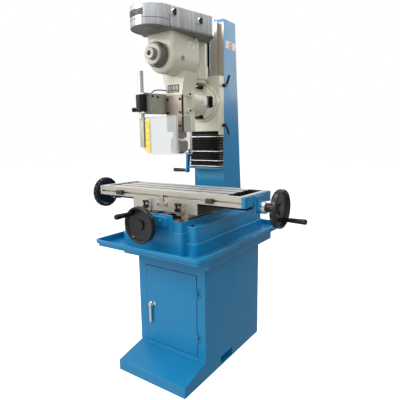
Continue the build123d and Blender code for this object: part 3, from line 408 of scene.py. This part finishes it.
def repaint_cover():
    """Dark wings on the lid's catches, duller metal on the belt cover's top, and painted shade as darker
    metal on its underside.
    """
    outward = Vector((math.cos(COVER_FLARE), -math.sin(COVER_FLARE), 0))
    wing_start = 179.3
    for catch in ("lid_catch_front", "lid_catch_rear"):
        repaint(catch, dark_steel, lambda middle, normal: middle.dot(outward) > wing_start)
    repaint("belt_cover_lid", aluminium_top, lambda middle, normal: normal.z > 0.8)
    repaint("belt_cover_base", shaded_aluminium_under, lambda middle, normal: normal.z < -0.8)


def repaint_screen_and_frame():
    """Painted highlight on the cut edges of the clear screen, and painted shade on the underside of the
    stand's top frame.
    """
    left_edge = -90
    # Painted highlight on the screen's edge faces.
    repaint("guard_screen", acrylic_edge_highlight,
            lambda middle, normal: abs(normal.z) > 0.2 or normal.y > 0.9 or
            (normal.x < -0.9 and middle.x < left_edge))
    # Painted shade on the frame's downward faces.
    repaint("stand_top_frame", shaded_blue_paint, lambda middle, normal: normal.z < -0.9)


repaint_column()
repaint_ways()
repaint_crank_and_head()
repaint_cover()
repaint_screen_and_frame()


# ------------------------------------------------------------------ geometry

class Shape:
    """Collects one piece's faces, in millimetres in the shared frame."""

    def __init__(self):
        self.mesh = bmesh.new()

    def add(self, points, faces, slot=0):
        made = [self.mesh.verts.new(Vector(point) * MM) for point in points]
        for face in faces:
            self.mesh.faces.new([made[index] for index in face]).material_index = slot
        return self

    def slab(self, centre, right, up, width, height, depth, slot=0):
        """Block whose faces lie along right, up and their cross product."""
        right, up = Vector(right).normalized(), Vector(up).normalized()
        out = right.cross(up)
        points = [Vector(centre) + right * a * width / 2 + up * b * height / 2 + out * c * depth / 2
                  for a in (-1, 1) for b in (-1, 1) for c in (-1, 1)]
        faces = [(0, 1, 3, 2), (4, 6, 7, 5), (0, 4, 5, 1), (2, 3, 7, 6), (0, 2, 6, 4), (1, 5, 7, 3)]
        return self.add(points, faces, slot)

    def box(self, low, high, slot=0):
        centre = (Vector(low) + Vector(high)) / 2
        size = Vector(high) - Vector(low)
        return self.slab(centre, (1, 0, 0), (0, 1, 0), size.x, size.y, size.z, slot)

    def loft(self, loops, slot=0):
        """Closed loops of points, each joined to the next, with a cap at either end."""
        size = len(loops[0])
        points = [point for loop in loops for point in loop]
        faces = []
        for start in range(0, len(points) - size, size):
            for step in range(size):
                after = (step + 1) % size
                faces.append((start + step, start + after, start + size + after, start + size + step))
        faces += [tuple(range(size)), tuple(range(len(points) - 1, len(points) - size - 1, -1))]
        return self.add(points, faces, slot)

    def lathe(self, origin, along, profile, slot=0, count=48, zero=None, arc=None):
        """Turned body from (distance, radius) points. An arc (start, stop), in degrees, is part of a turn."""
        along = Vector(along).normalized()
        if zero is None:
            zero = Vector((1, 0, 0)) if abs(along.x) < 0.9 else Vector((0, 1, 0))
        zero = Vector(zero)
        side = along.cross(zero)
        start, stop = arc or (0, 360)
        steps = count + 1 if arc else count
        points, rings = [], []
        for distance, radius in profile:
            ring = []
            for step in range(steps):
                angle = math.radians(start + (stop - start) * step / count)
                reach = zero * math.cos(angle) + side * math.sin(angle)
                ring.append(len(points))
                points.append(Vector(origin) + along * distance + reach * radius)
            rings.append(ring)
        faces = []
        for first, second in zip(rings, rings[1:] + rings[:1]):
            for step in range(count):
                after = (step + 1) % steps
                faces.append((first[step], first[after], second[after], second[step]))
        if arc:
            faces += [tuple(ring[0] for ring in rings), tuple(ring[-1] for ring in reversed(rings))]
        return self.add(points, faces, slot)

    def piece(self, name, body, looks, slot, bevel=0.0, angle=35.0, replaces=()):
        bmesh.ops.remove_doubles(self.mesh, verts=self.mesh.verts, dist=1e-7)
        bmesh.ops.dissolve_degenerate(self.mesh, edges=self.mesh.edges, dist=1e-7)
        bmesh.ops.recalc_face_normals(self.mesh, faces=self.mesh.faces)
        data = bpy.data.meshes.new(name)
        self.mesh.to_mesh(data)
        self.mesh.free()
        for look in looks:
            data.materials.append(look)
        data.shade_smooth()
        data.set_sharp_from_angle(angle=math.radians(angle))
        made = bpy.data.objects.new(name, data)
        bpy.context.scene.collection.objects.link(made)
        if bevel:
            rounding = made.modifiers.new("bevel", "BEVEL")
            rounding.width = bevel * MM
            rounding.segments = 2
            rounding.limit_method = "ANGLE"
        if body:
            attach(made, body)
        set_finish(made, slot)
        if replaces:
            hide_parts(*replaces)
        return made


def card(name, body, centre, right, up, width, height, looks, slot, rows):
    """Thin plate or film with plain bars. A row is (across, upward, width, height), in shares of the card."""
    shape = Shape()
    centre, right, up = Vector(centre), Vector(right).normalized(), Vector(up).normalized()
    out = right.cross(up)
    shape.slab(centre, right, up, width, height, 0.5)
    for across, upward, bar_width, bar_height in rows:
        spot = centre + right * across * width + up * upward * height + out * 0.3
        shape.slab(spot, right, up, bar_width * width, bar_height * height, 0.3, 1)
    return shape.piece(name, body, looks, slot)


def ring_ticks(shape, origin, along, radius, lengths, total, face=False):
    """Graduations on a cylinder's rim, or with face set, radial lines on its flat face."""
    along = Vector(along).normalized()
    zero = Vector((0, 0, 1))
    side = along.cross(zero)
    for step in range(total):
        angle = math.radians(360 * step / total)
        reach = zero * math.cos(angle) + side * math.sin(angle)
        across = along.cross(reach)
        length = lengths[0] if step % 10 == 0 else lengths[1] if step % 5 == 0 else lengths[2]
        if face:
            centre = Vector(origin) + reach * (radius - length / 2)
            shape.slab(centre, reach, across, length, 0.5, 0.2)
        else:
            centre = Vector(origin) + along * (length / 2) + reach * radius
            shape.slab(centre, along, across, length, 0.45, 0.2)


def socket_screw(shape, place, along, radius, height, chamfer, socket, depth, **turning):
    """Cap screw's head with a round socket, sunk half a millimetre into what it stands on."""
    floor = height - depth
    profile = [(-0.5, 0.1), (-0.5, radius), (height - chamfer, radius), (height, radius - chamfer),
               (height, socket), (floor, socket), (floor, 0.1)]
    shape.lathe(place, along, profile, **turning)


# ------------------------------------------------------------------ camera, light and floor

def make_camera():
    """The photo's view, solved from its straight edges."""
    yaw, pitch, roll = math.radians(34.655), math.radians(-9.762), math.radians(-0.670)
    place = (1.0891, -1.5922, 1.1050)
    forward = Vector((-math.sin(yaw) * math.cos(pitch), math.cos(yaw) * math.cos(pitch), math.sin(pitch)))
    level = Vector((math.cos(yaw), math.sin(yaw), 0))
    upward = level.cross(forward)
    right = level * math.cos(roll) + upward * math.sin(roll)
    top = upward * math.cos(roll) - level * math.sin(roll)
    camera = bpy.data.objects.new("camera", bpy.data.cameras.new("camera"))
    bpy.context.scene.collection.objects.link(camera)
    camera.matrix_world = Matrix.Translation(place) @ Matrix((right, top, -forward)).transposed().to_4x4()
    camera.data.sensor_width = 36.0
    camera.data.lens = 34.0
    camera.data.shift_x = 0.0012
    camera.data.shift_y = 0.0100
    camera.data.clip_end = 60.0
    bpy.context.scene.camera = camera
    bpy.context.scene.view_settings.view_transform = "Standard"


def make_world():
    """White to the camera. To all else, a studio that glows from the front left, brighter in reflections."""
    bright_side = (-0.52, -0.62, 0.58)
    world = bpy.data.worlds.new("studio")
    bpy.context.scene.world = world
    world.use_nodes = True
    tree = world.node_tree

    def ramp(value, low, high):
        node = tree.nodes.new("ShaderNodeMapRange")
        for index, number in enumerate((-0.6, 0.95, low, high), 1):
            node.inputs[index].default_value = number
        tree.links.new(value, node.inputs[0])
        return node.outputs[0]

    def choose(switch, when_off):
        """Mix node set to when_off where the switch is 0. The caller fills its input 3."""
        node = tree.nodes.new("ShaderNodeMix")
        tree.links.new(switch, node.inputs[0])
        tree.links.new(when_off, node.inputs[2])
        return node

    facing = tree.nodes.new("ShaderNodeVectorMath")
    facing.operation = "DOT_PRODUCT"
    facing.inputs[1].default_value = bright_side
    tree.links.new(tree.nodes.new("ShaderNodeTexCoord").outputs["Generated"], facing.inputs[0])
    ray = tree.nodes.new("ShaderNodeLightPath")
    lit = choose(ray.outputs["Is Glossy Ray"], ramp(facing.outputs["Value"], 0.16, 0.98))
    tree.links.new(ramp(facing.outputs["Value"], 0.38, 1.0), lit.inputs[3])
    seen = choose(ray.outputs["Is Camera Ray"], lit.outputs[0])
    seen.inputs[3].default_value = 1.0
    backdrop = next(n for n in tree.nodes if n.type == "BACKGROUND")
    backdrop.inputs["Color"].default_value = (1, 1, 1, 1)
    tree.links.new(seen.outputs[0], backdrop.inputs["Strength"])


def make_softbox(name, place, size, power, mirrored):
    """Soft light aimed at the machine's middle. Where mirrored is off, shiny parts don't reflect it."""
    light = bpy.data.lights.new(name, "AREA")
    light.shape = "RECTANGLE"
    light.size, light.size_y = size
    light.energy = power
    holder = bpy.data.objects.new(name, light)
    bpy.context.scene.collection.objects.link(holder)
    holder.location = place
    aim = (cad_low + cad_high) / 2 - Vector(place)
    holder.rotation_euler = aim.to_track_quat("-Z", "Y").to_euler()
    holder.visible_camera = False
    holder.visible_glossy = mirrored


def make_floor():
    """White ground under the machine, which doesn't colour or reflect in it."""
    look = Look("studio_floor", rgb(250, 250, 250), 0.6, Emission_Color=(1, 1, 1, 1), Emission_Strength=0.62)
    tone = look.mix(look.noise(3.0), rgb(248, 248, 248), rgb(252, 252, 252))
    reach = 16000
    floor = Shape().box((-reach, -reach, -60), (reach, reach, -0.5)).piece(
        "studio_floor", None, [look.done(tone)], "blue_paint")
    del floor["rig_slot"]
    floor.visible_diffuse = False
    floor.visible_glossy = False


make_camera()
make_world()
make_softbox("key", (-1.7, -2.9, 2.5), (1.6, 2.2), 72, True)
make_softbox("fill", (2.6, -0.9, 1.6), (0.5, 2.4), 15, False)
make_softbox("camera_side", (1.7, -2.4, 1.9), (1.2, 1.2), 13, False)
make_softbox("overhead", (0.1, -0.5, 3.4), (1.6, 1.6), 34, True)
make_softbox("rim", (1.0, 2.6, 2.2), (1.4, 1.4), 24, True)
make_floor()


# ------------------------------------------------------------------ bellows

def wrapped_band(half, front, back, corner, narrowing, thickness):
    """Band round three sides of the column, outer side first. corner holds (inward, backward) steps."""
    left = [(-half + inward, front + backward) for inward, backward in corner]
    outer = [(-half, back)] + left + [(-x, y) for x, y in reversed(left)] + [(half, back)]
    inner = [(x * narrowing, y + thickness if y < back else y) for x, y in reversed(outer)]
    return outer + inner


def make_bellows_cover():
    """Pleated cloth round three sides of the column. Its upper folds sit inside the carriage's ears."""
    low, high = bellows_low, bellows_high
    folds = 26
    crest, valley = 0.6, 6.0
    ear_height, ear_width, ear_depth = 19.5, 8.8, 6.0
    bottom, height = low.z + 0.3, high.z - low.z - 0.8
    corner = [(0, 5.0), (1.5, 1.5), (5.0, 0)]
    narrowing, thickness = 0.965, 2.4
    loops = []
    for step in range(folds + 1):
        z = bottom + height * step / folds
        inset = valley if step % 2 else crest
        half, front = high.x - inset, low.y + inset
        if z > high.z - ear_height:
            half, front = half - ear_width, front + ear_depth
        outline = wrapped_band(half, front, high.y - 0.4, corner, narrowing, thickness)
        loops.append([(x, y, z) for x, y in outline])
    cover = Shape().loft(loops).piece("bellows_cover", None, [leathercloth], "rubber", angle=22,
                                      replaces=("bellows",))
    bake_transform(cover)


def make_bellows_strips():
    """Four bright stiffeners in the folds.
    """
    low, high = bellows_low, bellows_high
    half_height = 1.7
    strip_heights = (968.0, 996.0, 1043.0, 1116.0)
    outline = wrapped_band(high.x - 0.3, low.y + 0.4, high.y - 1, [(0, 4.6), (4, 0)], 0.93, 4)
    for index, z in enumerate(strip_heights, 1):
        levels = (z - half_height, z + half_height)
        strip = Shape().loft([[(x, y, level) for x, y in outline] for level in levels])
        made = strip.piece(f"bellows_strip_{index}", None, [strip_steel], "steel", bevel=0.5)
        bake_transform(made)


make_bellows_cover()
make_bellows_strips()


# ------------------------------------------------------------------ column, carriage and head

# The right and up directions of a card that faces the front, or the machine's right side.
TO_FRONT = ((1, 0, 0), (0, 0, 1))
TO_RIGHT = ((0, 1, 0), (0, 0, 1))


def make_column_trim():
    """Ground strips beside the dovetail, and a plain sticker on the right side."""
    strips = Shape()
    front = way_front - 0.6
    inner_edge, cap_height = 57.0, 28
    for side in (-1, 1):
        near, far = sorted((side * inner_edge, side * (column_half - 0.3)))
        strips.box((near, front - 0.22, bellows_low.z + 0.5), (far, front + 0.2, column_high.z - cap_height))
    strips.piece("column_ground_strips", "frame", [ground_iron_front], "ground_iron")
    bars = [(0.02, 0.0, 0.34, 0.84), (-0.34, 0.22, 0.2, 0.08), (-0.34, 0.0, 0.2, 0.08),
            (-0.34, -0.22, 0.2, 0.08), (0.36, 0.2, 0.16, 0.08), (0.36, -0.1, 0.16, 0.08)]
    card("column_sticker", "frame", (column_half + 0.3, 138, 1561), *TO_RIGHT, 96, 34,
         [white_film, red_film, grey_ink], "blue_paint", bars)


def make_swivel_graduations():
    """Two-degree lines on the front of the swivel ring."""
    ticks = Shape()
    face_y = corners("swivel_ring")[0].y - 0.05
    ring_ticks(ticks, (0, face_y, swivel_z), (0, 1, 0), 87.4, (4.6, 3.4, 2.4), 180, face=True)
    ticks.piece("swivel_graduations", "carriage", [strip_steel], "steel")


def make_head_plates():
    """Throat nameplate and housing label, both with plain bars, and the oil sight's glass."""
    throat_y = corners("ram_cover_plate")[0].y + 3.0
    housing_x = corners("oil_fittings")[0].x
    bars = [(-0.36, 0.1, 0.12, 0.5), (-0.16, 0.1, 0.10, 0.5), (0.06, 0.1, 0.16, 0.5), (0.3, 0.1, 0.2, 0.5),
            (0.0, -0.34, 0.8, 0.08)]
    card("head_nameplate", "head", (-3.5, throat_y - 0.25, 1329), *TO_FRONT, 66, 33,
         [black_plate, grey_ink], "dark_steel", bars)
    card("housing_label", "head", (housing_x + 0.3, -169, 1512), *TO_RIGHT, 42, 28,
         [white_film, grey_ink], "cream_paint",
         [(0.0, 0.2, 0.7, 0.08), (0.0, -0.05, 0.6, 0.08), (0.0, -0.3, 0.7, 0.08)])
    dome = [(0, 0.1), (0, 6.9), (1.6, 6.9), (2.2, 0.1)]
    sight = Shape().lathe((housing_x + 0.2, -232, 1447), (1, 0, 0), dome)
    sight.piece("oil_sight_glass", "head", [amber_glass], "dark_steel")


def make_neck_label():
    """White film wrapped round the head's neck."""
    inside, outside, width = 66.2, 66.6, 30
    profile = [(0, inside), (0, outside), (width, outside), (width, inside)]
    label = Shape().lathe((0, -68, swivel_z), (0, 1, 0), profile, count=10, zero=(1, 0, 0), arc=(-24, 16))
    label.piece("neck_label", "head", [white_film], "cream_paint")


def make_cover_trim():
    """Plate wrapped round the belt cover's nose, and the dark joint lines between its lid, nose and sides."""
    nose_radius = 90.0
    nose_y = corners("belt_cover_lid")[0].y + nose_radius
    inside, outside, height = nose_radius + 0.2, nose_radius + 0.9, 24
    profile = [(0, inside), (0, outside), (height, outside), (height, inside)]
    plate = Shape().lathe((0, nose_y, 1583), (0, 0, 1), profile, count=18, zero=(0, -1, 0), arc=(-33, 18))
    plate.piece("cover_nameplate", "lid", [black_plate], "dark_steel")

    joint_z = corners("belt_cover_base")[1].z + 0.2
    half = 0.7
    flare_middle, flare_length = (90.1, -352.9, joint_z), 22.4
    seam_bottom, seam_top = 1546.5, 1594
    inside, outside = nose_radius - 1, nose_radius + 0.25
    profile = [(-half, inside), (-half, outside), (half, outside), (half, inside)]
    joints = Shape().lathe((0, nose_y, joint_z), (0, 0, 1), profile, count=40, zero=(0, -1, 0), arc=(-89, 75))
    flared = (math.sin(COVER_FLARE), math.cos(COVER_FLARE), 0)
    joints.slab(flare_middle, flared, (0, 0, 1), flare_length, 2 * half, 0.6)
    for edge in (-89.9, 92.6):
        joints.box((edge - half, nose_y - 1.0, seam_bottom), (edge + half, nose_y + 0.9, seam_top))
    joints.piece("cover_joint_lines", "lid", [rubber], "rubber")


def make_cover_plate_gap():
    """Painted shadow: a dark strip in the parting line beside the ram's cover plate."""
    low, high = corners("ram_cover_plate")
    gap = Shape().box((high.x + 0.05, low.y + 3, low.z), (high.x + 1.9, high.y + 1, high.z))
    gap.piece("cover_plate_shadow_gap", "head", [rubber], "rubber")


make_column_trim()
make_swivel_graduations()
make_head_plates()
make_neck_label()
make_cover_trim()
make_cover_plate_gap()


# ------------------------------------------------------------------ feed dials

def make_dials():
    """Engraved lines round the three feed dials."""
    lengths, lines, proud = (8, 6, 4), 100, 0.02
    low, high = corners("x_dials")
    axis = (low + high) / 2
    radius = (high.z - low.z) / 2 + proud
    dial_width = 21
    marks = Shape()
    for side, edge in ((1, high.x), (-1, low.x)):
        start = (edge - side * dial_width, axis.y, axis.z)
        ring_ticks(marks, start, (side, 0, 0), radius, lengths, lines)
    marks.piece("x_dial_marks", "x_screw", [dark_steel], "dark_steel")

    low, high = corners("y_dial")
    axis = (low + high) / 2
    radius = (high.z - low.z) / 2 + proud
    marks = Shape()
    ring_ticks(marks, (axis.x, high.y - 0.5, axis.z), (0, -1, 0), radius, lengths, lines)
    marks.piece("y_dial_marks", "y_screw", [dark_steel], "dark_steel")


make_dials()


# ------------------------------------------------------------------ guard

hub_low, hub_high = corners("guard_hub")
rod_low, rod_high = corners("guard_rod")
screen_low, screen_high = corners("guard_screen")
rod_x, rod_y = (hub_low.x + hub_high.x) / 2, (hub_low.y + hub_high.y) / 2
ROD_RADIUS = 12.5


def make_guard_hub():
    """Clamp hub with nine moulded ribs."""
    outer, groove = (hub_high.x - hub_low.x) / 2, 1.6
    height = hub_high.z - hub_low.z
    bore = ROD_RADIUS + 0.25
    ribs = 9
    pitch = (height - 4) / ribs
    profile = [(0, bore), (0, outer - 2), (1.6, outer)]
    for rib in range(ribs):
        start = 2 + rib * pitch
        profile += [(start + pitch * 0.55, outer), (start + pitch * 0.65, outer - groove),
                    (start + pitch * 0.9, outer - groove), (start + pitch, outer)]
    profile += [(height - 1.6, outer), (height, outer - 2), (height, bore)]
    hub = Shape().lathe((rod_x, rod_y, hub_low.z), (0, 0, 1), profile, count=56)
    hub.piece("guard_hub_ribbed", "guard_hub", [plastic], "black_plastic", replaces=("guard_hub",))


def make_guard_rod():
    """Round rod, 25 mm thick, above the flat profile that grips the screen from both sides."""
    rod_bottom, chamfer = 1195, 1.5
    profile = [(rod_bottom, 0.1), (rod_bottom, ROD_RADIUS), (rod_high.z - chamfer, ROD_RADIUS),
               (rod_high.z, ROD_RADIUS - chamfer), (rod_high.z, 0.1)]
    rod = Shape().lathe((rod_x, rod_y, 0), (0, 0, 1), profile, count=40)
    back, front = rod_y + 7, rod_y - 7
    slot_back, slot_front = rod_y + 1.6, rod_y - 3.0
    web_left, web_right = rod_x - 9.5, rod_x + 4.2
    web_top, jaw_top = 1216, 1204
    rod.box((web_left, front, rod_low.z), (web_right, back, web_top), 1)
    rod.box((web_right, slot_back, rod_low.z), (rod_high.x, back, jaw_top), 1)
    rod.box((web_right, front, rod_low.z), (rod_high.x, slot_front, jaw_top), 1)
    rod.piece("guard_rod_thick", "guard", [rod_steel, dull_steel], "chrome", bevel=0.6,
              replaces=("guard_rod",))


def make_screen_edges():
    """Painted highlights: bright strips along the polished edges of the clear sheet, and one line at its bent
    corner.
    """
    rims = Shape()
    front, side, back = screen_low.y - 0.1, screen_high.x + 0.1, screen_high.y
    bend, rim = 13, 1.8
    for z, inset in ((screen_low.z, 36), (screen_high.z - rim, 12)):
        rims.box((screen_low.x + inset, front - 0.3, z), (side - bend, front + 0.2, z + rim))
        rims.box((side - 0.2, front + bend, z), (side + 0.2, back, z + rim))
    rims.box((side - 4.4, back - 0.2, screen_low.z), (side + 0.2, back + 0.2, screen_high.z))
    rims.box((side - 4.6, front + 3.0, screen_low.z), (side - 2.8, front + 4.0, screen_high.z))
    rims.piece("guard_screen_edges", "guard", [acrylic_edge_highlight], "clear_plastic")


def make_arm_screws():
    """Two screws through the arm's slanted plate, under the lead."""
    screws = Shape()
    plate_start, plate_end = Vector((-78, -286, 0)), Vector((-52, -226, 0))
    slant = plate_end - plate_start
    outward = Vector((slant.y, -slant.x, 0)).normalized()
    for share, z in ((0.22, 1296.0), (0.62, 1293.0)):
        place = plate_start + slant * share + Vector((0, 0, z))
        socket_screw(screws, place, outward, 5, 4, 0.8, 2.6, 2.5, count=20, zero=(0, 0, 1))
    screws.piece("guard_arm_screws", "head", [dark_steel], "dark_steel")


def make_warning_strip():
    """Yellow strip on the screen, with plain bars in place of its warning."""
    middle = (screen_low.x + 30, screen_low.y - 0.3, (screen_low.z + screen_high.z) / 2 - 2)
    bars = [(0.22, 0.30, 0.06, 0.22), (0.22, -0.02, 0.06, 0.26), (0.22, -0.32, 0.06, 0.18),
            (0.38, 0.14, 0.05, 0.5)]
    card("guard_warning_strip", "guard", middle, *TO_FRONT, 26, 142,
         [yellow_film, grey_ink], "clear_plastic", bars)


make_guard_hub()
make_guard_rod()
make_screen_edges()
make_arm_screws()
make_warning_strip()


# ------------------------------------------------------------------ stand, base and saddle

def make_door_seal():
    """Thin rubber seal that fills the gap round the cabinet door, and stands as painted shadow in that gap.
    """
    low, high = corners("door_panel")
    hinge_reach = 10.1
    left, right = low.x, high.x - hinge_reach
    front, back = -270.4, -268.0
    side_gap, end_gap, right_gap = 3.0, 2.6, 2.4
    bottom, top = low.z - side_gap, high.z + side_gap
    seal = Shape()
    seal.box((left - side_gap, front, bottom), (left - 0.1, back, top))
    seal.box((right + 0.1, front, bottom), (right + right_gap, back, top))
    seal.box((left, front, low.z - end_gap), (right, back, low.z - 0.1))
    seal.box((left, front, high.z + 0.1), (right, back, high.z + end_gap))
    seal.piece("door_seal_and_gap_shadow", "frame", [rubber], "rubber")


def make_base_screws():
    """Socket screws that hold the base casting down, one near each corner of its shelf."""
    screws = Shape()
    shelf_z = 743
    for x in (-181, 181):
        for y in (base_low.y + 54, base_high.y - 60):
            socket_screw(screws, (x, y, shelf_z), (0, 0, 1), 8, 6, 1, 4, 3, count=24)
    screws.piece("base_screws", "frame", [dark_steel], "dark_steel")


def make_way_wipers():
    """Rubber way wipers on the saddle's front, riding just above the base."""
    wipers = Shape()
    inner_edge, outer_edge = 56.0, 99.0
    bottom, top = 764.8, 783
    for side in (-1, 1):
        near, far = sorted((side * inner_edge, side * outer_edge))
        wipers.box((near, saddle_low.y + 0.5, bottom), (far, saddle_low.y + 5.6, top))
    wipers.piece("way_wipers", "saddle", [rubber], "rubber", bevel=0.8)


make_door_seal()
make_base_screws()
make_way_wipers()


# ------------------------------------------------------------------ guard switch lead

def make_switch_lead():
    """Short lead from the guard's arm to the head, on the route of its CAD solid."""
    curve = bpy.data.curves.new("guard_switch_lead", "CURVE")
    curve.dimensions = "3D"
    curve.bevel_depth = 2.5 * MM
    curve.bevel_resolution = 4
    curve.resolution_u = 24
    route = [(-77, -272, 1310.3), (-74, -262, 1322), (-57, -232, 1326), (-44, -209.5, 1323)]
    spline = curve.splines.new("NURBS")
    spline.points.add(len(route) - 1)
    for point, place in zip(spline.points, route):
        point.co = (*(Vector(place) * MM), 1.0)
    spline.order_u = 3
    spline.use_endpoint_u = True
    curve.materials.append(rubber)
    lead = bpy.data.objects.new("guard_switch_lead", curve)
    bpy.context.scene.collection.objects.link(lead)
    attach(lead, "head")
    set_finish(lead, "rubber")
    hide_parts("switch_lead")


make_switch_lead()
